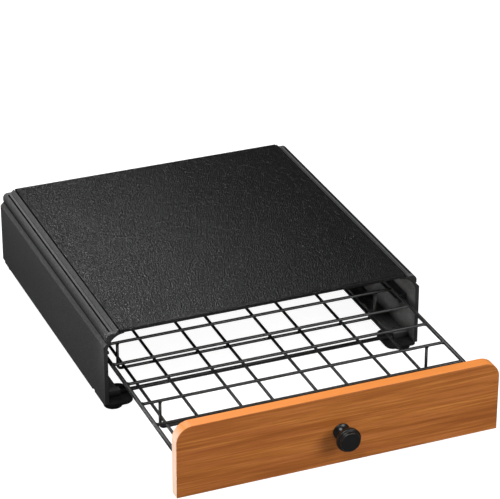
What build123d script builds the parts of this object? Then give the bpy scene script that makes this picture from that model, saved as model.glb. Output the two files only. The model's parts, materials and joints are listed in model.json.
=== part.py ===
from build123d import *
import os

# Coffee capsule holder: a low case whose deck carries a machine, with a wire drawer that slides under it.
# Millimetres. +Z is up, the table is at z = 0, and the drawer opens towards -Y. The rest pose has the drawer
# pulled part of the way out. The origin is the middle of the footprint in that pose.

# Case
case_width = 330.0
case_depth = 328.0
wall = 4.0
side_height = 62.8  # plain outer wall, up to the crown moulding
skirt_drop = 1.9  # between the feet the wall comes down this much lower
skirt_margin = 37.0  # from the case's ends
crown_height = 16.7  # moulding, from the plain wall up to the deck's face
crown_width = 15.3
crown_chamfer = 3.2
crown_chamfer_rise = 3.4
seam_drop = 13.1  # seam line under the bead, from the deck's face
seam_height = 1.3
seam_depth = 0.7
bead_start = 9.5  # where the bead's curve leaves the moulding's side, under the deck's face
bead_middle = (4.45, 5.2)  # a point of the curve: from the outer face, under the deck's face
bead_end = 7.2  # where it meets the shelf, from the outer face
shelf_drop = 3.4  # under the deck's face
shelf_end = 12.4  # from the outer face, where the slope up to the deck starts
slope_drop = 0.6  # slope's upper end, under the deck's face
groove_start = 6.7  # from the outer face
groove_width = 2.0
groove_depth = 2.8  # under the shelf
fine_groove_start = 11.1
fine_groove_width = 0.8
fine_groove_depth = 0.6
groove_end_margin = 5.0  # the grooves run out before the case's ends
deck_thickness = 4.0
deck_edge_round = 1.0
deck_reveal = 1.2  # open joint between the deck and the crown
corner_radius = 17.0  # inside top corners of the opening
ledge_lip = 0.8
back_thickness = 3.0
rib_thickness = 3.0
rib_width = 8.0
rib_screw_shares = (0.2, 0.5, 0.8)  # of the rib's height
flange_width = 20.0  # foot flange, from the wall's outer face
flange_thickness = 3.0
lug_length = 12.0
lug_reach = 12.0
lug_thickness = 3.2
lug_end_margin = 80.0
lug_shoulder = 1.0  # between the crown and the lug's round screw seat

# Feet
foot_width = 31.0
foot_length = 35.0
foot_thickness = 5.0
foot_margin = 1.0  # the foot stands back from the case's outer faces
foot_corner = 9.0
foot_outer_corner = 2.6
foot_chamfer = 1.4
pad_radius = 9.3
pad_thickness = 4.5
pad_recess = 1.0
pad_chamfer = 0.8
pad_offset = 12.0  # pad's centre, from both outer faces
foot_screw_margin = 7.0  # from the foot's inner end

# Tie rods between the feet
tie_radius = 2.0
tie_height = 3.0  # axis above the wall's bottom edge
tie_seat = 12.0
boss_wall = 1.2
boss_rise = 3.5

# Drawer front
front_thickness = 12.0
front_height = 72.6
front_side_gap = 0.6
front_lift = 1.75  # above the wall's bottom edge
front_corner = 16.0
front_edge_round = 0.8
drawer_opening = 168.4  # from the case's front to the back of the drawer front

# Knob, a turned piece, with sizes along its axis from the drawer front
knob_reach = 22.0
knob_base_radius = 8.2
knob_base_height = 1.6
knob_neck_radius = 4.4
knob_neck_start = 8.0
knob_neck_end = 11.0
knob_disc_radius = 11.9
knob_disc_start = 14.2
knob_rim_height = 4.0
knob_ring_radius = 9.8
knob_ring_step = 1.2
knob_lift = 34.0  # above the drawer front's bottom edge
knob_bore_depth = 11.0
knob_flare_radius = 7.5
knob_ring_chamfer = 0.7

# Wire basket
rod_radius = 2.0
rod_inset = 8.95  # axis, from the case's outer face
rod_height = 40.8  # axis, above the wall's bottom edge
rod_length = 305.0  # behind the drawer front
rod_seat = 6.0  # in the drawer front
wire_radius = 1.5
weld_bite = 0.5  # how far a coped wire end reaches round its neighbour
wire_count = 8
first_wire = 14.1  # behind the drawer front
last_wire_margin = 15.8  # from the rod's end
lane_count = 4
lane_margin = 2.05  # between the outer lanes and the side rods' axes
cradle_spread = 32.0  # between the two wires that carry a lane
cradle_overhang = 4.0
hoop_depth = 28.8  # from the rods' axis down to the hoops' floor
hoop_bend = 4.0
hoop_inset = 28.0  # axis of a hoop's leg, from the case's outer face
hoop_seats = (1, 3, 6, 8)  # cross wires that a hoop hangs from

# Runners, guides and shoes
runner_web = 1.2
runner_lip = 1.2
runner_reach = 12.1  # lip's inner edge, from the case's outer face
runner_setback = 20.0  # runner's mouth, behind the case's front
runner_end_gap = 1.0  # to the back rib
runner_screw_margin = 30.0
shoe_height = 6.4
shoe_width = 5.6
shoe_length = 13.5
shoe_bore_depth = 11.5
shoe_round = 0.6
guide_length = 6.6
guide_wall = 1.4

# Brackets between the basket and the drawer front
bracket_width = 16.0
bracket_drop = 20.0
bracket_thickness = 1.5
bracket_bend = 0.9
bracket_arm = 19.0
bracket_screw_drops = (7.5, 15.5)

# Screws
screw_radius = 1.5
screw_head_radius = 3.0
screw_head_height = 2.0
flat_head_radius = 2.7
knob_screw_radius = 2.0
knob_screw_head_radius = 4.2
knob_screw_head_height = 2.4
knob_screw_bite = 10.0
front_screw_bite = 8.5
foot_screw_bite = 2.6
wall_screw_bite = 2.8
deck_screw_bite = 2.8
back_screw_bite = 2.8

# Clearances
slide_gap = 0.3
fit_gap = 0.1
weld_gap = 0.05
hole_radius = screw_radius + fit_gap

# Heights
pad_drop = pad_thickness - pad_recess
case_bottom = pad_drop + foot_thickness
side_top = case_bottom + side_height
deck_top = side_top + crown_height
deck_under = deck_top - deck_thickness
rod_z = case_bottom + rod_height
hoop_z = rod_z - hoop_depth
cradle_z = hoop_z + 2 * wire_radius + weld_gap
tie_z = case_bottom + tie_height
front_bottom = case_bottom + front_lift
front_top = front_bottom + front_height
knob_z = front_bottom + knob_lift

# Stations along Y
overall_depth = knob_reach + front_thickness + drawer_opening + case_depth + screw_head_height
front_face = knob_reach - overall_depth / 2
front_back = front_face + front_thickness
case_front = front_back + drawer_opening
case_back = case_front + case_depth
back_plane = case_back - back_thickness
rib_front = back_plane - rib_thickness
stop_plane = case_front + front_thickness + slide_gap
tie_offset = front_thickness + slide_gap + boss_wall + tie_radius + fit_gap
runner_front = case_front + runner_setback
runner_back = rib_front - runner_end_gap
wire_pitch = (rod_length - first_wire - last_wire_margin) / (wire_count - 1)
wire_stations = [front_back + first_wire + wire_pitch * n for n in range(wire_count)]
shoe_front = front_back + rod_length - shoe_bore_depth

# Half widths
half_width = case_width / 2
rod_x = half_width - rod_inset
hoop_x = half_width - hoop_inset
front_half = half_width - wall - front_side_gap
lane_pitch = 2 * (rod_x - lane_margin) / lane_count
lane_centres = [lane_pitch * (n - (lane_count - 1) / 2) for n in range(lane_count)]
bracket_x = lane_pitch

os.makedirs("parts", exist_ok=True)


def save(piece, name):
    piece.part.label = name
    export_step(piece.part, f"parts/{name}.step")


# A plane square to Y at the given station, whose sketches extrude towards the front
def across(y):
    return Plane.XZ.offset(-y)


# A box between two corners
def block(low, high, mode=Mode.ADD):
    size = [b - a for a, b in zip(low, high)]
    with Locations(low):
        return Box(*size, align=(Align.MIN, Align.MIN, Align.MIN), mode=mode)


# A cylinder that starts at a point and runs in a direction
def bar(start, direction, radius, length, mode=Mode.ADD):
    with Locations(Plane(origin=start, z_dir=direction)):
        return Cylinder(radius, length, align=(Align.CENTER, Align.CENTER, Align.MIN), mode=mode)


# A cone that starts wide at a point and narrows in a direction
def countersink(start, direction, wide, narrow, depth, mode=Mode.ADD):
    with Locations(Plane(origin=start, z_dir=direction)):
        return Cone(wide, narrow, depth, align=(Align.CENTER, Align.CENTER, Align.MIN), mode=mode)


# A pan-head screw, whose head sits at the seat and whose shank runs in a direction
def screw(seat, direction, length, radius=screw_radius, head=screw_head_radius, rise=screw_head_height):
    bar(seat, direction, radius, length)
    top = tuple(s - rise * d for s, d in zip(seat, direction))
    bar(top, direction, head, rise)


# Screw places, on the left side
lug_span = case_depth - 2 * lug_end_margin
lug_stations = [case_front + lug_end_margin + lug_span * n / 2 for n in range(3)]
lug_x = -half_width + crown_width + lug_reach / 2 + lug_shoulder
runner_screw_span = runner_back - runner_front - 2 * runner_screw_margin
runner_screw_stations = [runner_front + runner_screw_margin + runner_screw_span * n / 2 for n in range(3)]
runner_half = shoe_height / 2 + slide_gap
rib_x = -half_width + wall + rib_width / 2
rib_top = deck_under - ledge_lip - corner_radius
rib_screw_heights = [case_bottom + (rib_top - case_bottom) * share for share in rib_screw_shares]
foot_screw_x = -half_width + (wall + flange_width) / 2
foot_screw_offset = foot_margin + foot_length - foot_screw_margin

# Side wall with its crown moulding, foot flange, tie-rod bosses, deck lugs and back rib
with BuildPart() as left_side_panel:
    with BuildSketch(across(case_back)):
        with BuildLine():
            outer = -half_width
            shelf_top = deck_top - shelf_drop
            bead_side = outer + crown_chamfer
            arch_x = outer + wall + corner_radius
            arch_z = deck_under - ledge_lip - corner_radius
            Polyline(
                (outer + wall, arch_z),
                (outer + wall, case_bottom),
                (outer, case_bottom),
                (outer, side_top),
                (bead_side, side_top + crown_chamfer_rise),
                (bead_side, deck_top - seam_drop),
                (bead_side + seam_depth, deck_top - seam_drop),
                (bead_side + seam_depth, deck_top - seam_drop + seam_height),
                (bead_side, deck_top - seam_drop + seam_height),
                (bead_side, deck_top - bead_start),
            )
            ThreePointArc(
                (bead_side, deck_top - bead_start),
                (outer + bead_middle[0], deck_top - bead_middle[1]),
                (outer + bead_end, shelf_top),
            )
            Polyline(
                (outer + bead_end, shelf_top),
                (outer + shelf_end, shelf_top),
                (outer + crown_width, deck_top - slope_drop),
                (outer + crown_width, deck_under),
                (arch_x, deck_under),
                (arch_x, arch_z + corner_radius),
            )
            CenterArc((arch_x, arch_z), corner_radius, 90, 90)
        make_face()
    extrude(amount=case_depth)
    block(
        (outer, case_front + skirt_margin, case_bottom - skirt_drop),
        (outer + wall, case_back - skirt_margin, case_bottom),
    )
    grooves = (
        (groove_start, groove_width, groove_depth),
        (fine_groove_start, fine_groove_width, fine_groove_depth),
    )
    for start, width, depth in grooves:
        block(
            (outer + start, case_front + groove_end_margin, shelf_top - depth),
            (outer + start + width, case_back - groove_end_margin, shelf_top),
            mode=Mode.SUBTRACT,
        )
    block(
        (outer + wall, stop_plane, case_bottom),
        (outer + flange_width, rib_front, case_bottom + flange_thickness),
    )
    block((outer + wall, rib_front, case_bottom), (outer + wall + rib_width, back_plane, rib_top))
    boss_half = tie_radius + fit_gap + boss_wall
    for station in (case_front + tie_offset, case_back - tie_offset):
        block(
            (outer + wall, station - boss_half, case_bottom),
            (outer + flange_width, station + boss_half, tie_z + boss_rise),
        )
        socket = (outer + flange_width - tie_seat, station, tie_z)
        bar(socket, (1, 0, 0), tie_radius + fit_gap, tie_seat, mode=Mode.SUBTRACT)
    for station in lug_stations:
        block(
            (outer + crown_width, station - lug_length / 2, deck_under - lug_thickness),
            (lug_x + lug_reach / 2, station + lug_length / 2, deck_under),
        )
        bar((lug_x, station, deck_under - lug_thickness), (0, 0, 1), hole_radius, lug_thickness,
            mode=Mode.SUBTRACT)
    for station in runner_screw_stations:
        bar((outer + wall, station, rod_z), (-1, 0, 0), hole_radius, wall_screw_bite + fit_gap,
            mode=Mode.SUBTRACT)
    for height in rib_screw_heights:
        bar((rib_x, rib_front, height), (0, 1, 0), hole_radius, rib_thickness, mode=Mode.SUBTRACT)
    for station in (case_front + foot_screw_offset, case_back - foot_screw_offset):
        bar((foot_screw_x, station, case_bottom), (0, 0, 1), hole_radius, flange_thickness,
            mode=Mode.SUBTRACT)
save(left_side_panel, "left_side_panel")

with BuildPart() as right_side_panel:
    mirror(left_side_panel.part, about=Plane.YZ)
save(right_side_panel, "right_side_panel")

# Deck, laid in the rebates of the two side walls
with BuildPart() as top_deck:
    deck_half = half_width - crown_width - deck_reveal
    block((-deck_half, case_front, deck_under), (deck_half, case_back, deck_top))
    fillet(faces().sort_by(Axis.Z)[-1].edges(), deck_edge_round)
    for station in lug_stations:
        for x in (lug_x, -lug_x):
            bar((x, station, deck_under), (0, 0, 1), hole_radius, deck_screw_bite + fit_gap,
                mode=Mode.SUBTRACT)
save(top_deck, "top_deck")

# Back plate, between the walls and against their ribs
with BuildPart() as back_panel:
    with BuildSketch(across(case_back)):
        with BuildLine():
            plate_half = half_width - wall - fit_gap
            plate_radius = corner_radius - fit_gap
            Line((-plate_half, case_bottom), (plate_half, case_bottom))
            Line((plate_half, case_bottom), (plate_half, arch_z))
            plate_corner = plate_half - plate_radius
            plate_top = arch_z + plate_radius
            CenterArc((plate_corner, arch_z), plate_radius, 0, 90)
            Line((plate_corner, plate_top), (-plate_corner, plate_top))
            CenterArc((-plate_corner, arch_z), plate_radius, 90, 90)
            Line((-plate_half, arch_z), (-plate_half, case_bottom))
        make_face()
    extrude(amount=back_thickness)
    for height in rib_screw_heights:
        for x in (rib_x, -rib_x):
            bar((x, back_plane, height), (0, 1, 0), hole_radius, back_thickness, mode=Mode.SUBTRACT)
save(back_panel, "back_panel")

# Feet: front left is drawn, the others are its mirror images
middle = Plane.XZ.offset(-(case_front + case_back) / 2)
with BuildPart() as front_left_foot:
    foot_x = outer + foot_margin
    foot_y = case_front + foot_margin
    with BuildSketch(Plane.XY.offset(pad_drop)):
        with Locations((foot_x, foot_y)):
            Rectangle(foot_width - foot_margin, foot_length, align=(Align.MIN, Align.MIN))
        fillet(vertices().group_by(Axis.X)[-1], foot_corner)
        fillet(vertices().group_by(Axis.X)[0], foot_outer_corner)
    extrude(amount=foot_thickness)
    chamfer(faces().sort_by(Axis.Z)[0].edges(), foot_chamfer)
    pad_x = outer + pad_offset
    pad_y = case_front + pad_offset
    bar((pad_x, pad_y, pad_drop), (0, 0, 1), pad_radius + fit_gap, pad_recess, mode=Mode.SUBTRACT)
    seat_z = case_bottom - foot_thickness / 2
    hole = (foot_screw_x, case_front + foot_screw_offset, pad_drop)
    bar(hole, (0, 0, 1), hole_radius, foot_thickness, mode=Mode.SUBTRACT)
    bar(hole, (0, 0, 1), screw_head_radius + fit_gap, foot_thickness / 2, mode=Mode.SUBTRACT)
save(front_left_foot, "front_left_foot")

with BuildPart() as front_left_pad:
    bar((pad_x, pad_y, 0), (0, 0, 1), pad_radius, pad_thickness)
    chamfer(faces().sort_by(Axis.Z)[0].edges(), pad_chamfer)
save(front_left_pad, "front_left_pad")

for kind, drawn in (("foot", front_left_foot), ("pad", front_left_pad)):
    with BuildPart() as front_right:
        mirror(drawn.part, about=Plane.YZ)
    save(front_right, f"front_right_{kind}")
    with BuildPart() as rear_left:
        mirror(drawn.part, about=middle)
    save(rear_left, f"rear_left_{kind}")
    with BuildPart() as rear_right:
        mirror(front_right.part, about=middle)
    save(rear_right, f"rear_right_{kind}")

# Tie rods, seated in the bosses of the two side walls
tie_half = half_width - flange_width + tie_seat - fit_gap
for name, station in (("front_tie_rod", case_front + tie_offset), ("rear_tie_rod", case_back - tie_offset)):
    with BuildPart() as tie_rod:
        bar((-tie_half, station, tie_z), (1, 0, 0), tie_radius, 2 * tie_half)
    save(tie_rod, name)

# Runner: a channel along the wall, open towards the drawer, held by three flat-head screws in its web
with BuildPart() as left_runner:
    web_x = outer + wall
    lip_x = outer + runner_reach
    runner_top = rod_z + runner_half
    runner_floor = rod_z - runner_half
    with BuildSketch(across(runner_back)):
        with BuildLine():
            Polyline(
                (web_x, runner_floor - runner_lip),
                (lip_x, runner_floor - runner_lip),
                (lip_x, runner_floor),
                (web_x + runner_web, runner_floor),
                (web_x + runner_web, runner_top),
                (lip_x, runner_top),
                (lip_x, runner_top + runner_lip),
                (web_x, runner_top + runner_lip),
                close=True,
            )
        make_face()
    extrude(amount=runner_back - runner_front)
    for station in runner_screw_stations:
        seat = (web_x + runner_web, station, rod_z)
        countersink(seat, (-1, 0, 0), flat_head_radius + fit_gap, hole_radius, runner_web,
                    mode=Mode.SUBTRACT)
save(left_runner, "left_runner")

# Front guide: the slotted block in the runner's mouth that carries the side rod and stops the shoe
with BuildPart() as left_front_guide:
    guide_x = web_x + runner_web + fit_gap
    slot_half = rod_radius + slide_gap
    with BuildSketch(across(runner_front + guide_length)):
        with BuildLine():
            Polyline(
                (guide_x, runner_floor + fit_gap),
                (lip_x, runner_floor + fit_gap),
                (lip_x, rod_z - slot_half),
                (guide_x + guide_wall, rod_z - slot_half),
                (guide_x + guide_wall, rod_z + slot_half),
                (lip_x, rod_z + slot_half),
                (lip_x, runner_top - fit_gap),
                (guide_x, runner_top - fit_gap),
                close=True,
            )
        make_face()
    extrude(amount=guide_length)
save(left_front_guide, "left_front_guide")

# Side rod of the basket, seated in the drawer front and in its rear shoe
with BuildPart() as left_side_rod:
    bar((-rod_x, front_back - rod_seat, rod_z), (0, 1, 0), rod_radius, rod_seat + rod_length)
save(left_side_rod, "left_side_rod")

# Rear shoe: the block on the rod's end that slides in the runner
with BuildPart() as left_rear_shoe:
    block(
        (-rod_x - shoe_width / 2, shoe_front, rod_z - shoe_height / 2),
        (-rod_x + shoe_width / 2, shoe_front + shoe_length, rod_z + shoe_height / 2),
    )
    fillet(left_rear_shoe.edges().filter_by(Axis.Y), shoe_round)
    bar((-rod_x, shoe_front, rod_z), (0, 1, 0), rod_radius + weld_gap, shoe_bore_depth + weld_gap,
        mode=Mode.SUBTRACT)
save(left_rear_shoe, "left_rear_shoe")

mirrored = {
    "right_runner": left_runner,
    "right_front_guide": left_front_guide,
    "right_side_rod": left_side_rod,
    "right_rear_shoe": left_rear_shoe,
}
for name, drawn in mirrored.items():
    with BuildPart() as right_piece:
        mirror(drawn.part, about=Plane.YZ)
    save(right_piece, name)

# Cross wires, coped against the two side rods
for number, station in enumerate(wire_stations, start=1):
    with BuildPart() as cross_wire:
        wire_half = rod_x - rod_radius + weld_bite
        bar((-wire_half, station, rod_z), (1, 0, 0), wire_radius, 2 * wire_half)
        for x in (-rod_x, rod_x):
            bar((x, station - 2 * wire_radius, rod_z), (0, 1, 0), rod_radius + weld_gap, 4 * wire_radius,
                mode=Mode.SUBTRACT)
    save(cross_wire, f"cross_wire_{number}")

# Hoops: bent wires that hang from the cross wires and carry the basket's floor
for number, seat in enumerate(hoop_seats, start=1):
    station = wire_stations[seat - 1]
    leg_top = rod_z - wire_radius + weld_bite
    with BuildPart() as hoop:
        with BuildLine() as route:
            FilletPolyline(
                (-hoop_x, station, leg_top),
                (-hoop_x, station, hoop_z),
                (hoop_x, station, hoop_z),
                (hoop_x, station, leg_top),
                radius=hoop_bend,
            )
        with BuildSketch(Plane(origin=(-hoop_x, station, leg_top), z_dir=(0, 0, -1))):
            Circle(wire_radius)
        sweep()
        bar((-half_width, station, rod_z), (1, 0, 0), wire_radius + weld_gap, case_width, mode=Mode.SUBTRACT)
    save(hoop, f"hoop_{number}")

# Cradle wires: two under each lane, laid on the hoops
cradle_places = [centre + side * cradle_spread / 2 for centre in lane_centres for side in (-1, 1)]
cradle_start = wire_stations[hoop_seats[0] - 1] - cradle_overhang
cradle_length = wire_stations[hoop_seats[-1] - 1] + cradle_overhang - cradle_start
for number, x in enumerate(cradle_places, start=1):
    with BuildPart() as cradle_wire:
        bar((x, cradle_start, cradle_z), (0, 1, 0), wire_radius, cradle_length)
    save(cradle_wire, f"cradle_wire_{number}")

# Brackets: the arm lies under the first cross wire, and the plate is screwed to the drawer front
arm_top = rod_z - wire_radius - weld_gap
with BuildPart() as left_bracket:
    with BuildSketch(Plane.YZ.offset(-bracket_x - bracket_width / 2)):
        with BuildLine():
            Polyline(
                (front_back, arm_top - bracket_drop),
                (front_back + bracket_thickness, arm_top - bracket_drop),
                (front_back + bracket_thickness, arm_top - bracket_thickness),
                (front_back + bracket_arm, arm_top - bracket_thickness),
                (front_back + bracket_arm, arm_top),
                (front_back, arm_top),
                close=True,
            )
        make_face()
        inner_corner = (0, front_back + bracket_thickness, arm_top - bracket_thickness)
        fillet(vertices().sort_by_distance(inner_corner)[0], bracket_bend)
    extrude(amount=bracket_width)
    for drop in bracket_screw_drops:
        bar((-bracket_x, front_back, arm_top - drop), (0, 1, 0), hole_radius, bracket_thickness,
            mode=Mode.SUBTRACT)
save(left_bracket, "left_bracket")

with BuildPart() as right_bracket:
    mirror(left_bracket.part, about=Plane.YZ)
save(right_bracket, "right_bracket")

# Drawer front: a board with two rounded top corners
with BuildPart() as drawer_front:
    with BuildSketch(across(front_back)):
        with Locations((0, front_bottom)):
            Rectangle(2 * front_half, front_height, align=(Align.CENTER, Align.MIN))
        fillet(vertices().group_by(Axis.Y)[-1], front_corner)
    extrude(amount=front_thickness)
    fillet(faces().filter_by(Axis.Y).edges(), front_edge_round)
    for x in (-rod_x, rod_x):
        bar((x, front_back - rod_seat, rod_z), (0, 1, 0), rod_radius + weld_gap, rod_seat, mode=Mode.SUBTRACT)
    for x in (-bracket_x, bracket_x):
        for drop in bracket_screw_drops:
            bar((x, front_back, arm_top - drop), (0, -1, 0), hole_radius, front_screw_bite + fit_gap,
                mode=Mode.SUBTRACT)
    bar((0, front_back, knob_z), (0, -1, 0), knob_screw_radius + fit_gap, front_thickness, mode=Mode.SUBTRACT)
save(drawer_front, "drawer_front")

# Knob, turned about its axis: flared base, neck, disc with a stepped ring
with BuildPart() as knob:
    with BuildSketch(Plane(origin=(0, front_face, knob_z), x_dir=(1, 0, 0), z_dir=(0, 0, -1))):
        with BuildLine():
            flare_start = (knob_base_radius, knob_base_height)
            flare_end = (knob_neck_radius, knob_neck_start)
            Polyline((0, 0), (knob_base_radius, 0), flare_start)
            RadiusArc(flare_start, flare_end, -knob_flare_radius)
            Polyline(
                flare_end,
                (knob_neck_radius, knob_neck_end),
                (knob_disc_radius, knob_disc_start),
                (knob_disc_radius, knob_disc_start + knob_rim_height),
                (knob_ring_radius, knob_reach - knob_ring_step),
                (knob_ring_radius - knob_ring_chamfer, knob_reach),
                (0, knob_reach),
                (0, 0),
            )
        make_face()
    revolve(axis=Axis((0, front_face, knob_z), (0, -1, 0)))
    bar((0, front_face, knob_z), (0, -1, 0), knob_screw_radius + fit_gap, knob_bore_depth, mode=Mode.SUBTRACT)
save(knob, "knob")

with BuildPart() as knob_screw:
    screw((0, front_back, knob_z), (0, -1, 0), front_thickness + knob_screw_bite, knob_screw_radius,
          knob_screw_head_radius, knob_screw_head_height)
save(knob_screw, "knob_screw")

# Screws, each kind in one group
with BuildPart() as foot_screws:
    for x in (foot_screw_x, -foot_screw_x):
        for y in (case_front + foot_screw_offset, case_back - foot_screw_offset):
            screw((x, y, seat_z), (0, 0, 1), foot_thickness / 2 + foot_screw_bite)
save(foot_screws, "foot_screws")

with BuildPart() as runner_screws:
    for side in (-1, 1):
        for station in runner_screw_stations:
            seat = (side * (half_width - wall - runner_web), station, rod_z)
            countersink(seat, (side, 0, 0), flat_head_radius, screw_radius, runner_web)
            bar(seat, (side, 0, 0), screw_radius, runner_web + wall_screw_bite)
save(runner_screws, "runner_screws")

with BuildPart() as deck_screws:
    for x in (lug_x, -lug_x):
        for station in lug_stations:
            screw((x, station, deck_under - lug_thickness), (0, 0, 1), lug_thickness + deck_screw_bite)
save(deck_screws, "deck_screws")

with BuildPart() as back_screws:
    for x in (rib_x, -rib_x):
        for height in rib_screw_heights:
            screw((x, case_back, height), (0, -1, 0), back_thickness + back_screw_bite)
save(back_screws, "back_screws")

with BuildPart() as bracket_screws:
    for x in (-bracket_x, bracket_x):
        for drop in bracket_screw_drops:
            seat = (x, front_back + bracket_thickness, arm_top - drop)
            screw(seat, (0, -1, 0), bracket_thickness + front_screw_bite)
save(bracket_screws, "bracket_screws")
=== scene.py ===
import json
import math
import bmesh
import bpy
from mathutils import Matrix, Vector, noise


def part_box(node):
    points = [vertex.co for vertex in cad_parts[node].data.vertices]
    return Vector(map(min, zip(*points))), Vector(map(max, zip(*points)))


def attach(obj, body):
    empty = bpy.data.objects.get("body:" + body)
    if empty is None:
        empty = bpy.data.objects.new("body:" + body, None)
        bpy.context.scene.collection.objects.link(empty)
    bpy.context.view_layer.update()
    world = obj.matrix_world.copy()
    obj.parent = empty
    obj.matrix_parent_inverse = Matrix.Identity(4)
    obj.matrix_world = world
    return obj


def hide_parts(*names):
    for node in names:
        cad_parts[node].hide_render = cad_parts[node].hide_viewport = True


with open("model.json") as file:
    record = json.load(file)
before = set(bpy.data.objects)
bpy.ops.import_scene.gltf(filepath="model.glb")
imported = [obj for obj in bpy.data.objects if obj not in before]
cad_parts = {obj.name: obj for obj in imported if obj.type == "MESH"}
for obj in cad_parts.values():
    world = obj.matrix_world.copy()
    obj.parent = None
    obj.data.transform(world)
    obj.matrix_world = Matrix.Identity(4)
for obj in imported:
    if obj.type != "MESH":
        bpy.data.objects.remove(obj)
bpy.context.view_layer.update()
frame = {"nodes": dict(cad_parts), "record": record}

mm = 0.001
samePoint = 1e-6  # metres between two points that count as one
bodyOf = {name: body for body, names in frame["record"]["behaviour"]["bodies"].items() for name in names}
slotOf = {row["node"]: row["material_slot"] for row in frame["record"]["subparts"]}
print("frame loaded:", len(frame["nodes"]), "nodes")

# Camera, at the photographed view: azimuth is measured from straight in front towards the left

view = {
    "azimuth": 22.3702,
    "elevation": 27.2909,
    "roll": 0.1379,
    "distance": 2.46,
    "aim": (0.022109, 0.02884, 0.095378),
    "lens": 178.058,
    "sensor": 36.0,
    "clip": (0.05, 50.0),
}


def makeCamera():
    azimuth, elevation = math.radians(view["azimuth"]), math.radians(view["elevation"])
    aim = Vector(view["aim"])
    back = Vector((-math.sin(azimuth) * math.cos(elevation), -math.cos(azimuth) * math.cos(elevation),
                   math.sin(elevation)))
    data = bpy.data.cameras.new("photoCamera")
    data.lens = view["lens"]
    data.sensor_width = view["sensor"]
    data.clip_start, data.clip_end = view["clip"]
    camera = bpy.data.objects.new("photoCamera", data)
    camera.location = aim + back * view["distance"]
    level = (-back).to_track_quat("-Z", "Y").to_matrix()
    camera.rotation_euler = (level @ Matrix.Rotation(math.radians(view["roll"]), 3, "Z")).to_euler()
    bpy.context.scene.collection.objects.link(camera)
    bpy.context.scene.camera = camera


makeCamera()
print("camera placed")


# Shader maths: a Wire is a socket whose sums and products add Math nodes, a Finish is one material

class Wire:
    def __init__(self, finish, socket):
        self.finish = finish
        self.socket = socket

    def maths(self, operation, first, second):
        return self.finish.node("ShaderNodeMath", {"operation": operation}, {0: first, 1: second})

    def __add__(self, other):
        return self.maths("ADD", self, other)

    def __radd__(self, other):
        return self.maths("ADD", other, self)

    def __sub__(self, other):
        return self.maths("SUBTRACT", self, other)

    def __rsub__(self, other):
        return self.maths("SUBTRACT", other, self)

    def __mul__(self, other):
        return self.maths("MULTIPLY", self, other)

    def __rmul__(self, other):
        return self.maths("MULTIPLY", other, self)


class Finish:
    def __init__(self, name, metallic=0.0, coat=0.0, coatRoughness=0.1, specular=0.5):
        self.material = bpy.data.materials.new(name)
        self.material.use_nodes = True
        self.tree = self.material.node_tree
        self.shader = self.tree.nodes["Principled BSDF"]
        self.feed("Metallic", metallic)
        self.feed("Coat Weight", coat)
        self.feed("Coat Roughness", coatRoughness)
        self.feed("Specular IOR Level", specular)
        self.place = self.node("ShaderNodeTexCoord", {}, {}, "Object")

    def plug(self, value, socket):
        if isinstance(value, Wire):
            self.tree.links.new(value.socket, socket)
        elif socket.type == "RGBA":
            socket.default_value = (*value, 1.0)
        else:
            socket.default_value = value

    def feed(self, name, value):
        self.plug(value, self.shader.inputs[name])

    def node(self, kind, settings, sockets, output=0):
        made = self.tree.nodes.new(kind)
        for key, value in settings.items():
            if key == "stops":
                while len(made.color_ramp.elements) < len(value):
                    made.color_ramp.elements.new(0.5)
                for element, (position, color) in zip(made.color_ramp.elements, value):
                    element.position = position
                    element.color = (*color, 1.0)
            else:
                setattr(made, key, value)
        for key, value in sockets.items():
            self.plug(value, made.inputs[key])
        return Wire(self, made.outputs[output])

    def bent(self, push, amount):
        return self.node("ShaderNodeVectorMath", {"operation": "MULTIPLY_ADD"}, {
            0: push, 1: amount, 2: self.place})

    def noise(self, scale, detail=2.0, roughness=0.5, vector=None):
        return self.node("ShaderNodeTexNoise", {}, {
            "Vector": vector or self.place, "Scale": scale, "Detail": detail, "Roughness": roughness})

    def grain(self, scale, detail=2.0, roughness=0.5, shift=(0, 0, 0), start=None):
        stretched = self.node("ShaderNodeMapping", {}, {
            "Vector": start or self.place, "Scale": scale, "Location": shift})
        return self.noise(1.0, detail, roughness, stretched)

    def cells(self, vector, scale):
        return self.node("ShaderNodeTexVoronoi", {"feature": "DISTANCE_TO_EDGE"}, {
            "Vector": vector, "Scale": scale}, "Distance")

    def ramp(self, value, stops):
        return self.node("ShaderNodeValToRGB", {"stops": stops}, {"Fac": value})

    def spread(self, value, low, high, newLow=0.0, newHigh=1.0):
        return self.node("ShaderNodeMapRange", {"clamp": True}, {
            "Value": value, "From Min": low, "From Max": high, "To Min": newLow, "To Max": newHigh})

    def mix(self, factor, first, second):
        return self.node("ShaderNodeMix", {"data_type": "RGBA"}, {0: factor, 6: first, 7: second}, 2)

    def greys(self, factor, first, second):
        return self.mix(factor, grey(first), grey(second))

    def facing(self, axis):
        normal = self.node("ShaderNodeTexCoord", {}, {}, "Normal")
        return self.node("ShaderNodeSeparateXYZ", {}, {0: normal}, axis)

    def bump(self, height, distance, strength):
        self.feed("Normal", self.node("ShaderNodeBump", {}, {
            "Height": height, "Distance": distance, "Strength": strength}))


def grey(level):
    return (level, level, level)


# Finishes: texture scales are in cells per metre, and a bump is its distance in metres and its strength

caseLook = {
    "warpScale": 260.0,
    "warpReach": (0.004, 0.004, 0.004),
    "pebbleScale": 620.0,
    "creaseWidth": 0.3,
    "fineScale": 1500.0,
    "broadScale": 9.0,
    "pebbleShare": 0.7,
    "greys": (0.056, 0.108),
    "frontGrey": 0.02,  # painted shade on the faces that look to the front
    # painted shade in recesses: its grey, and how far the occlusion mask looks
    "recessGrey": 0.004,
    "recessReach": 0.007,
    "roughness": (0.54, 0.64),
    "bump": (0.0002, 0.6),
}


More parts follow.
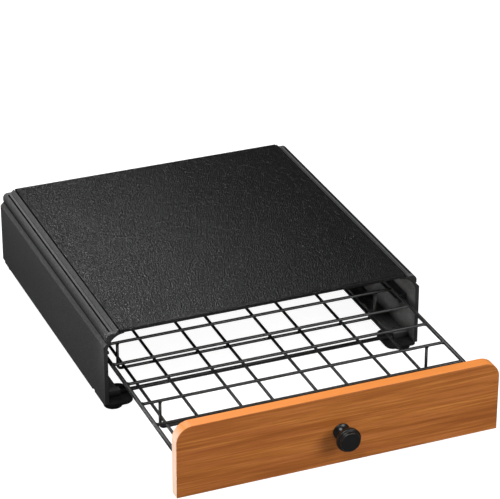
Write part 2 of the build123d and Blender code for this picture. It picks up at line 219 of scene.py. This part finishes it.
def caseFinish():
    facts = caseLook
    look = Finish("satinCasePlastic", specular=0.2)
    bent = look.bent(look.noise(facts["warpScale"]), facts["warpReach"])
    pebble = look.spread(look.cells(bent, facts["pebbleScale"]), 0.0, facts["creaseWidth"])
    fine = look.noise(facts["fineScale"], 3.0, 0.6)
    broad = look.noise(facts["broadScale"], 3.0)
    grain = pebble * facts["pebbleShare"] + fine * (1.0 - facts["pebbleShare"])
    shell = look.greys(look.spread(grain * 0.7 + broad * 0.3, 0.3, 0.8), *facts["greys"])
    # Painted shade: the faces that look to the front are darkened towards a near-black grey
    shell = look.mix(look.spread(look.facing("Y") * -1.0, 0.7, 0.95), shell, grey(facts["frontGrey"]))
    # Painted shade: an occlusion mask darkens the base colour in grooves, seams and inner corners
    recess = look.node("ShaderNodeAmbientOcclusion", {"samples": 8}, {"Distance": facts["recessReach"]}, "AO")
    look.feed("Base Color", look.mix(look.spread(recess, 0.4, 0.92), grey(facts["recessGrey"]), shell))
    look.feed("Roughness", look.spread(broad * 0.6 + fine * 0.4, 0.3, 0.7, *facts["roughness"]))
    look.bump(grain, *facts["bump"])
    return look.material


deckLook = {
    "warpScale": 190.0,
    "warpReach": (0.006, 0.006, 0.006),
    "pebbleScale": 400.0,
    "creaseWidth": 0.35,
    "fineScale": 700.0,
    "wornScale": 26.0,
    "pebbleShare": 0.6,
    "wornShare": 0.3,
    "greys": (0.001, 0.006),
    "roughness": (0.48, 0.26),  # in the creases, on the pebbles
    "bump": (0.00065, 1.0),
}


def deckFinish():
    facts = deckLook
    look = Finish("grainedDeckSkin", specular=0.38)
    bent = look.bent(look.noise(facts["warpScale"]), facts["warpReach"])
    pebble = look.spread(look.cells(bent, facts["pebbleScale"]), 0.0, facts["creaseWidth"])
    fine = look.noise(facts["fineScale"], 3.0, 0.6)
    worn = look.noise(facts["wornScale"], 3.0)
    height = pebble * facts["pebbleShare"] + fine * (1.0 - facts["pebbleShare"])
    look.feed("Base Color", look.greys(look.spread(height, 0.25, 0.75), *facts["greys"]))
    look.feed("Roughness", look.spread(height + worn * facts["wornShare"], 0.35, 1.0, *facts["roughness"]))
    look.bump(height, *facts["bump"])
    return look.material


woodLook = {
    "drift": (1.4, 8.0, 8.0),  # scales along the board, through it and up it
    "driftReach": (0.0, 0.018, 0.018),
    "bands": (3.5, 85.0, 85.0),
    "streaks": (11.0, 260.0, 260.0),
    "lines": (12.0, 620.0, 620.0),
    "fibres": (38.0, 2300.0, 2300.0),
    "pores": (60.0, 2900.0, 2900.0),
    "grainStops": [
        (0.39, (0.35, 0.1, 0.017)),
        (0.475, (0.445, 0.14, 0.024)),
        (0.525, (0.55, 0.187, 0.035)),
        (0.62, (0.7, 0.262, 0.06)),
    ],
    "streakColor": (0.42, 0.108, 0.029),
    "fibreColor": (0.3, 0.085, 0.019),
    "poreColor": (0.15, 0.045, 0.012),
    # the edges' colour: the wood's edge tone, lighter than the face, partly a painted highlight for light on
    # the top edge
    "edgeColors": ((0.7, 0.225, 0.046), (0.78, 0.265, 0.058)),
    # the end faces' pale colour: partly the end grain's own paler tone, partly a painted highlight for light
    # on the left end
    "endColor": (0.95, 0.68, 0.52),
    "roughness": (0.45, 0.56),
    "bump": (0.00006, 0.45),
}


def woodFinish():
    facts = woodLook
    look = Finish("lacqueredWood", coat=0.05, coatRoughness=0.35, specular=0.3)
    sway = look.bent(look.grain(facts["drift"]), facts["driftReach"])
    bands = look.grain(facts["bands"], start=sway)
    streaks = look.grain(facts["streaks"], shift=(7.0, 0, 0), start=sway)
    lines = look.grain(facts["lines"], 4.0, 0.6, start=sway)
    fibres = look.grain(facts["fibres"])
    pores = look.spread(look.grain(facts["pores"], 1.0, shift=(3.0, 0, 0)), 0.63, 0.71)
    front = look.ramp(bands * 0.3 + streaks * 0.25 + lines * 0.45, facts["grainStops"])
    front = look.mix(look.spread(streaks, 0.5, 0.64, 0.0, 0.4), front, facts["streakColor"])
    front = look.mix(look.spread(fibres, 0.3, 0.7, 0.0, 0.2), front, facts["fibreColor"])
    front = look.mix(pores * 0.35, front, facts["poreColor"])
    face, side = look.facing("Y"), look.facing("X")
    # Partly painted highlight: the top and bottom edges are lighter than the face
    band = look.mix(look.spread(lines * 0.5 + fibres * 0.5, 0.3, 0.7), *facts["edgeColors"])
    # Partly painted highlight: the faces that look along the board are mixed towards a very pale colour
    endsAndPaintedLight = look.mix(look.spread(side * side, 0.25, 1.0), band, facts["endColor"])
    look.feed("Base Color", look.mix(look.spread(face * face, 0.35, 0.75), endsAndPaintedLight, front))
    look.feed("Roughness", look.spread(lines, 0.3, 0.7, *facts["roughness"]))
    look.bump(fibres * 0.5 + (1.0 - pores) * 0.5, *facts["bump"])
    return look.material


# Even finishes: a broad noise varies the grey, and a fine one the roughness and the bump. Where there is no
# broad noise, the fine one does both. A noise is its scale, its detail and sometimes its roughness

evenLooks = {
    "wire_black": {
        "name": "powderCoatedSteel",
        "shine": {"specular": 0.5},
        "broad": (40.0, 2.0),
        "fine": (1500.0, 2.0),
        "greySpan": (0.35, 0.65),
        "greys": (0.006, 0.011),
        "roughness": (0.27, 0.4),
        "bump": (0.00005, 0.5),
    },
    "knob_black": {
        "name": "satinBlackKnob",
        "shine": {"coat": 0.25, "coatRoughness": 0.22, "specular": 0.3},
        "broad": (120.0, 2.0),
        "fine": (2200.0, 2.0),
        "greySpan": (0.35, 0.65),
        "greys": (0.003, 0.006),
        "roughness": (0.3, 0.4),
        "bump": (0.00003, 0.5),
    },
    "screw_steel": {
        "name": "zincScrewSteel",
        "shine": {"metallic": 1.0},
        "fine": (500.0, 3.0),
        "greySpan": (0.3, 0.7),
        "greys": (0.36, 0.52),
        "roughness": (0.26, 0.42),
        "bump": (0.00003, 0.4),
    },
    "pad_rubber": {
        "name": "footRubber",
        "shine": {"specular": 0.15},
        "fine": (1800.0, 3.0, 0.65),
        "greySpan": (0.35, 0.65),
        "greys": (0.003, 0.007),
        "roughness": (0.68, 0.85),
        "bump": (0.0001, 0.6),
    },
    "nylon": {
        "name": "guideNylon",
        "shine": {"specular": 0.45},
        "fine": (700.0, 3.0),
        "greySpan": (0.35, 0.65),
        "greys": (0.014, 0.022),
        "roughness": (0.38, 0.52),
        "bump": (0.00004, 0.4),
    },
}


def evenFinish(facts):
    look = Finish(facts["name"], **facts["shine"])
    fine = look.noise(*facts["fine"])
    broad = look.noise(*facts["broad"]) if "broad" in facts else fine
    look.feed("Base Color", look.greys(look.spread(broad, *facts["greySpan"]), *facts["greys"]))
    look.feed("Roughness", look.spread(fine, 0.3, 0.7, *facts["roughness"]))
    look.bump(fine, *facts["bump"])
    return look.material


finishes = {"case_plastic": caseFinish(), "deck_skin": deckFinish(), "wood": woodFinish()}
for slotName, facts in evenLooks.items():
    finishes[slotName] = evenFinish(facts)
finishes["frame_black"] = finishes["wire_black"]
print("finishes made:", len(finishes))


# A mesh piece that rides on a body, takes a slot's finish and may stand for nodes

def addPiece(name, work, body, slot, standsFor, sharpAngle):
    mesh = bpy.data.meshes.new(name)
    work.to_mesh(mesh)
    work.free()
    mesh.shade_smooth()
    mesh.set_sharp_from_angle(angle=math.radians(sharpAngle))
    piece = bpy.data.objects.new(name, mesh)
    bpy.context.scene.collection.objects.link(piece)
    mesh.materials.append(finishes[slot])
    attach(piece, body)
    if standsFor:
        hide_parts(*standsFor)


# A piece that replaces one node, under the node's name, on its body and by default with its slot

def standIn(node, work, sharpAngle=35.0, slot=None):
    first, *others = node.split("_")
    name = first + "".join(word.capitalize() for word in others)
    addPiece(name, work, bodyOf[node], slot or slotOf[node], [node], sharpAngle)


def mergedCopy(node):
    work = bmesh.new()
    work.from_mesh(frame["nodes"][node].data)
    bmesh.ops.remove_doubles(work, verts=work.verts, dist=samePoint)
    return work


# A copy of a node's mesh. Where the node has a radius here, in millimetres, its triangles are merged into
# faces and its hard edges are rounded

rounding = {
    "radius": {
        "left_side_panel": 0.3,
        "right_side_panel": 0.3,
        "back_panel": 0.3,
        "left_runner": 0.2,
        "right_runner": 0.2,
        "left_bracket": 0.15,
        "right_bracket": 0.15,
    },
    "flatAngle": 1.0,  # degrees
    "hardAngle": 30.0,
    "segments": 2,
}


def roundEdges(work, radius):
    flat, hard = math.radians(rounding["flatAngle"]), math.radians(rounding["hardAngle"])
    bmesh.ops.dissolve_limit(work, angle_limit=flat, verts=work.verts, edges=work.edges)
    edges = [e for e in work.edges if len(e.link_faces) == 2 and e.calc_face_angle(0) > hard]
    bmesh.ops.bevel(work, geom=edges, offset=radius * mm, offset_type="OFFSET", segments=rounding["segments"],
                    profile=0.5, affect="EDGES", clamp_overlap=True, material=-1)


def dressNode(node):
    work = mergedCopy(node)
    if node in rounding["radius"]:
        roundEdges(work, rounding["radius"][node])
    slot = "pad_rubber" if node.endswith("_foot") else None  # the feet take the darker rubber finish, which paints the shade that falls on them
    standIn(node, work, slot=slot)


# A turned shape: a profile of (radius, height) in millimetres, spun about Z

def turned(profile, steps):
    work = bmesh.new()
    points = [work.verts.new((radius * mm, 0, height * mm)) for radius, height in profile]
    line = [work.edges.new(pair) for pair in zip(points, points[1:])]
    bmesh.ops.spin(work, geom=points + line, cent=(0, 0, 0), axis=(0, 0, 1), angle=math.tau, steps=steps,
                   use_merge=True)
    bmesh.ops.remove_doubles(work, verts=work.verts, dist=samePoint)
    bmesh.ops.recalc_face_normals(work, faces=work.faces)
    return work


# Moves a shape so that its own Z axis points along a direction and its origin lies at a place

def put(work, place, direction, verts=None):
    turn = Vector(direction).to_track_quat("Z", "Y").to_matrix().to_4x4()
    bmesh.ops.transform(work, matrix=Matrix.Translation(place) @ turn, verts=verts or work.verts)


# Knob: a turned flare, neck and disc, whose rim and raised face catch the light

knobShape = {
    "profile": [
        (0.0, 0.0), (7.9, 0.0), (8.2, 0.25), (8.2, 1.35), (7.95, 1.65),  # base
        (7.1, 2.15), (6.2, 2.95), (5.4, 4.0), (4.85, 5.3), (4.5, 6.7), (4.4, 8.0),  # flare
        (4.4, 9.6), (4.6, 10.5), (5.3, 11.3), (7.2, 12.3), (9.6, 13.3), (11.2, 14.0),  # neck
        (11.7, 14.4), (11.9, 15.0), (11.9, 17.3), (11.75, 17.8), (11.35, 18.15), (10.9, 18.2),  # rim
        (10.3, 18.35), (9.95, 18.75), (9.85, 19.3), (9.8, 20.9), (9.65, 21.45), (9.25, 21.85),  # step
        (8.7, 22.0), (8.0, 21.95), (0.0, 21.85),  # face
    ],
    "steps": 96,
    "sharpAngle": 50.0,
}


def makeKnob():
    work = turned(knobShape["profile"], knobShape["steps"])
    low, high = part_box("knob")
    put(work, ((low[0] + high[0]) / 2, high[1], (low[2] + high[2]) / 2), (0, -1, 0))
    standIn("knob", work, knobShape["sharpAngle"])


# Rubber pads, whose soles have a hollow in the middle and a groove around it

padShape = {
    "profile": [
        (0.0, 0.35), (2.6, 0.35), (2.9, 0.0), (4.6, 0.0), (4.9, 0.6), (5.6, 0.6), (5.9, 0.0),  # sole
        (8.4, 0.0), (8.9, 0.15), (9.2, 0.5), (9.3, 0.9), (9.3, 4.5), (0.0, 4.5),  # side and top
    ],
    "steps": 72,
}


def makePads():
    for node in [name for name in frame["nodes"] if name.endswith("_pad")]:
        work = turned(padShape["profile"], padShape["steps"])
        low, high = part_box(node)
        put(work, ((low[0] + high[0]) / 2, (low[1] + high[1]) / 2, 0.0), (0, 0, 1))
        standIn(node, work)


# Screws: each solid of a screw node gives its place, and gets a domed or flat head with a cross recess

screwShape = {
    "cells": 7,  # across the head, an odd number, so that the middle ones make the cross
    "dome": 0.35,  # share of the head's height
    "recess": 2.5,  # cells from the middle to the end of an arm of the cross
    "recessDepth": 0.55,  # share of the head's radius
    "recessTaper": 0.55,
    "tip": 0.15,  # share of the shank's radius
    "sharpAngle": 40.0,
}


def solidsOf(work):
    done = set()
    for start in work.verts:
        if start not in done:
            solid, edge = {start}, {start}
            while edge:
                edge = {e.other_vert(v) for v in edge for e in v.link_edges} - solid
                solid |= edge
            done |= solid
            yield [v.co.copy() for v in solid]


def screwFacts(points):
    low = Vector([min(p[i] for p in points) for i in range(3)])
    high = Vector([max(p[i] for p in points) for i in range(3)])
    size = high - low
    along = max(range(3), key=lambda i: size[i])
    middle = (low + high) / 2

    def reachAt(level):
        return max(((p - middle) - Vector([(p - middle)[i] if i == along else 0 for i in range(3)])).length
                   for p in points if abs(p[along] - level) < samePoint)

    headAtHigh = reachAt(high[along]) > reachAt(low[along])
    top = middle.copy()
    top[along] = high[along] if headAtHigh else low[along]
    out = Vector([0.0, 0.0, 0.0])
    out[along] = 1.0 if headAtHigh else -1.0
    shank = min(reachAt(high[along]), reachAt(low[along]))
    stations = sorted({round(abs(p[along] - top[along]), 6) for p in points})  # rings, from the head down
    return top, out, reachAt(top[along]), shank, stations[1], size[along]


def screwMesh(work, top, out, head, shank, rise, length, flat):
    shape = screwShape
    count = shape["cells"]
    disc = bmesh.ops.create_grid(work, x_segments=count, y_segments=count, size=head)["verts"]
    cell = 2 * head / count
    faces = list(dict.fromkeys(f for v in disc for f in v.link_faces))
    cross = [f for f in faces if min(abs(f.calc_center_median().x), abs(f.calc_center_median().y)) < cell / 2
             and max(abs(f.calc_center_median().x), abs(f.calc_center_median().y)) < shape["recess"] * cell]
    for v in disc:
        flatReach = max(abs(v.co.x), abs(v.co.y))
        if flatReach:
            v.co *= flatReach / v.co.length
        v.co.z = 0.0 if flat else -rise * shape["dome"] * (flatReach / head) ** 2
    rim = [e for f in faces for e in f.edges if e.is_boundary]
    sunk = bmesh.ops.extrude_face_region(work, geom=cross)["geom"]
    sunkVerts = [g for g in sunk if isinstance(g, bmesh.types.BMVert)]
    bmesh.ops.delete(work, geom=cross, context="FACES")
    bmesh.ops.translate(work, verts=sunkVerts, vec=(0, 0, -head * shape["recessDepth"]))
    bmesh.ops.scale(work, verts=sunkVerts, vec=(shape["recessTaper"], shape["recessTaper"], 1.0))
    made = set(disc) | set(sunkVerts)
    walls = [(shank, rise)] if flat else [(head, rise), (shank, rise)]
    walls += [(shank, length - shank), (shank * shape["tip"], length)]
    for reach, drop in walls:
        grown = bmesh.ops.extrude_edge_only(work, edges=rim)["geom"]
        rim = [g for g in grown if isinstance(g, bmesh.types.BMEdge)]
        ring = [g for g in grown if isinstance(g, bmesh.types.BMVert)]
        for v in ring:
            around = math.hypot(v.co.x, v.co.y)
            v.co = (v.co.x * reach / around, v.co.y * reach / around, -drop)
        made |= set(ring)
    bmesh.ops.contextual_create(work, geom=rim)
    put(work, top, out, list(made))


def makeScrews():
    for node in [name for name in frame["nodes"] if "screw" in name]:
        source = mergedCopy(node)
        work = bmesh.new()
        for points in solidsOf(source):
            top, out, head, shank, rise, length = screwFacts(points)
            screwMesh(work, top, out, head, shank, rise, length, node == "runner_screws")
        source.free()
        bmesh.ops.recalc_face_normals(work, faces=work.faces)
        standIn(node, work, screwShape["sharpAngle"])


# Welds, in millimetres: a ring of bead where a wire butts on another, and a nugget where two wires cross

weldShape = {
    "wires": 8,  # cross wires, and as many cradle wires
    "hoops": 4,
    "bead": [(0.9, -0.45), (2.12, -0.35), (2.06, 0.1), (1.7, 0.5), (1.52, 1.1), (0.9, 1.05)],
    "beadSteps": 16,
    "nugget": (1.5, 1.5, 0.75),
    "rough": 0.12,
    "seed": 3,  # of the roughness
    "roughScale": 900.0,  # cells per metre
    "sharpAngle": 60.0,
}


# Roughens one weld where it lies and adds it to the others

def joinInto(work, part):
    for v in part.verts:
        v.co += noise.noise_vector(v.co * weldShape["roughScale"]) * weldShape["rough"] * mm
    mesh = bpy.data.meshes.new("joined")
    part.to_mesh(mesh)
    part.free()
    work.from_mesh(mesh)
    bpy.data.meshes.remove(mesh)


def addBead(work, place, direction):
    bead = bmesh.new()
    points = [bead.verts.new((radius * mm, 0, height * mm)) for radius, height in weldShape["bead"]]
    line = [bead.edges.new(pair) for pair in zip(points, points[1:] + points[:1])]
    bmesh.ops.spin(bead, geom=points + line, cent=(0, 0, 0), axis=(0, 0, 1), angle=math.tau,
                   steps=weldShape["beadSteps"], use_merge=True)
    bmesh.ops.recalc_face_normals(bead, faces=bead.faces)
    put(bead, place, direction)
    joinInto(work, bead)


def addNugget(work, place):
    nugget = bmesh.new()
    bmesh.ops.create_icosphere(nugget, subdivisions=2, radius=mm)
    bmesh.ops.scale(nugget, verts=nugget.verts, vec=weldShape["nugget"])
    put(nugget, place, (0, 0, 1))
    joinInto(work, nugget)


def middleOf(node):
    low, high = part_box(node)
    return (Vector(low) + Vector(high)) / 2


def makeWelds():
    noise.seed_set(weldShape["seed"])
    work = bmesh.new()
    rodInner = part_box("right_side_rod")[0][0]
    wireNumbers = range(1, weldShape["wires"] + 1)
    for number in wireNumbers:
        wire = middleOf(f"cross_wire_{number}")
        for side in (-1, 1):
            addBead(work, (side * rodInner, wire.y, wire.z), (-side, 0, 0))
    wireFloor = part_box("cross_wire_1")[0][2]
    for number in range(1, weldShape["hoops"] + 1):
        low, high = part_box(f"hoop_{number}")
        hoop = middleOf(f"hoop_{number}")
        radius = (high[1] - low[1]) / 2
        for side in (-1, 1):
            addBead(work, (side * (high[0] - radius), hoop.y, wireFloor), (0, 0, -1))
        for lane in wireNumbers:
            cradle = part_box(f"cradle_wire_{lane}")
            addNugget(work, (middleOf(f"cradle_wire_{lane}").x, hoop.y, cradle[0][2]))
    addPiece("basketWelds", work, "drawer", "wire_black", (), weldShape["sharpAngle"])


makeKnob()
makePads()
makeScrews()
makeWelds()
print("knob, pads, screws and welds made")
for node in frame["nodes"]:
    if node != "knob" and "screw" not in node and not node.endswith("_pad"):
        dressNode(node)
print("other nodes dressed")


# Floor, lamps and world

stage = {
    "floorSize": 12.0,
    "floorSeen": 0.3,  # the floor's grey for the camera, which keeps the shadow
    "floorBounce": 0.18,  # its grey for light that bounces to the object
    "floorShine": 0.06,  # its grey in reflections
    "floorRoughness": 0.9,
    "floorGlow": 0.94,
    "glossShare": 0.15,  # of the glow in reflections
    "worldLit": 0.1,  # the world's grey for the object's light, in reflections and for the camera
    "worldShine": 0.05,
    "worldSeen": 1.0,
}
lamps = {
    "topLeft": {
        "place": (-0.75, -0.6, 1.8), "aim": (0, 0, 0.05),
        "size": 1.2, "power": 37.0, "spread": 180,
    },
    "frontFill": {
        "place": (0.95, -1.75, 1.05), "aim": (0, 0, 0.05),
        "size": 1.0, "power": 24.0, "spread": 180,
    },
    "deckSheen": {
        "place": (-0.12, 0.42, 0.48), "aim": (0, 0, 0.05),
        "size": 0.16, "power": 1.95, "spread": 180,
    },
    "boardEnd": {  # lights the pale left end of the front board
        "place": (-0.6, -0.185, 0.1), "aim": (-0.16, -0.26, 0.035),
        "size": 0.1, "power": 0.034, "spread": 24,
    },
    "caseInside": {  # lights the inner face of the right wall
        "place": (-0.45, -0.24, 0.13), "aim": (0.16, 0.0, 0.045),
        "size": 0.1, "power": 0.045, "spread": 14,
    },
}


def makeStage():
    work = bmesh.new()
    bmesh.ops.create_grid(work, x_segments=1, y_segments=1, size=stage["floorSize"] / 2)
    mesh = bpy.data.meshes.new("floor")
    work.to_mesh(mesh)
    work.free()
    floor = bpy.data.objects.new("floor", mesh)
    bpy.context.scene.collection.objects.link(floor)
    look = Finish("paleFloor", specular=0.0)
    look.feed("Roughness", stage["floorRoughness"])
    seen = look.node("ShaderNodeLightPath", {}, {}, "Is Camera Ray")
    shine = look.node("ShaderNodeLightPath", {}, {}, "Is Glossy Ray")
    bounced = 1.0 - seen - shine
    level = seen * stage["floorSeen"] + shine * stage["floorShine"] + bounced * stage["floorBounce"]
    look.feed("Base Color", look.greys(level, 0.0, 1.0))
    look.feed("Emission Color", look.greys(seen + shine * stage["glossShare"], 0.0, 1.0))
    look.feed("Emission Strength", stage["floorGlow"])
    under = look.node("ShaderNodeNewGeometry", {}, {}, "Backfacing")
    look.feed("Alpha", 1.0 - seen * under)  # a camera below the floor sees through it
    mesh.materials.append(look.material)


def makeLamps():
    for name, facts in lamps.items():
        data = bpy.data.lights.new(name, "AREA")
        data.shape = "SQUARE"
        data.size = facts["size"]
        data.energy = facts["power"]
        data.spread = math.radians(facts["spread"])
        lamp = bpy.data.objects.new(name, data)
        lamp.location = facts["place"]
        lamp.visible_camera = False
        lamp.rotation_euler = (Vector(facts["aim"]) - lamp.location).to_track_quat("-Z", "Y").to_euler()
        bpy.context.scene.collection.objects.link(lamp)


def makeWorld():
    world = bpy.data.worlds.new("studio")
    world.use_nodes = True
    tree = world.node_tree
    rays = tree.nodes.new("ShaderNodeLightPath")
    shades = {}
    for name in ("worldLit", "worldShine", "worldSeen"):
        shades[name] = tree.nodes.new("ShaderNodeBackground")
        shades[name].inputs["Color"].default_value = (1.0, 1.0, 1.0, 1.0)
        shades[name].inputs["Strength"].default_value = stage[name]
    last = shades["worldLit"].outputs[0]
    for name, ray in (("worldShine", "Is Glossy Ray"), ("worldSeen", "Is Camera Ray")):
        blend = tree.nodes.new("ShaderNodeMixShader")
        tree.links.new(rays.outputs[ray], blend.inputs[0])
        tree.links.new(last, blend.inputs[1])
        tree.links.new(shades[name].outputs[0], blend.inputs[2])
        last = blend.outputs[0]
    tree.links.new(last, tree.nodes["World Output"].inputs["Surface"])
    bpy.context.scene.world = world


makeStage()
makeLamps()
makeWorld()
bpy.context.scene.view_settings.view_transform = "Standard"
print("stage and lamps made")
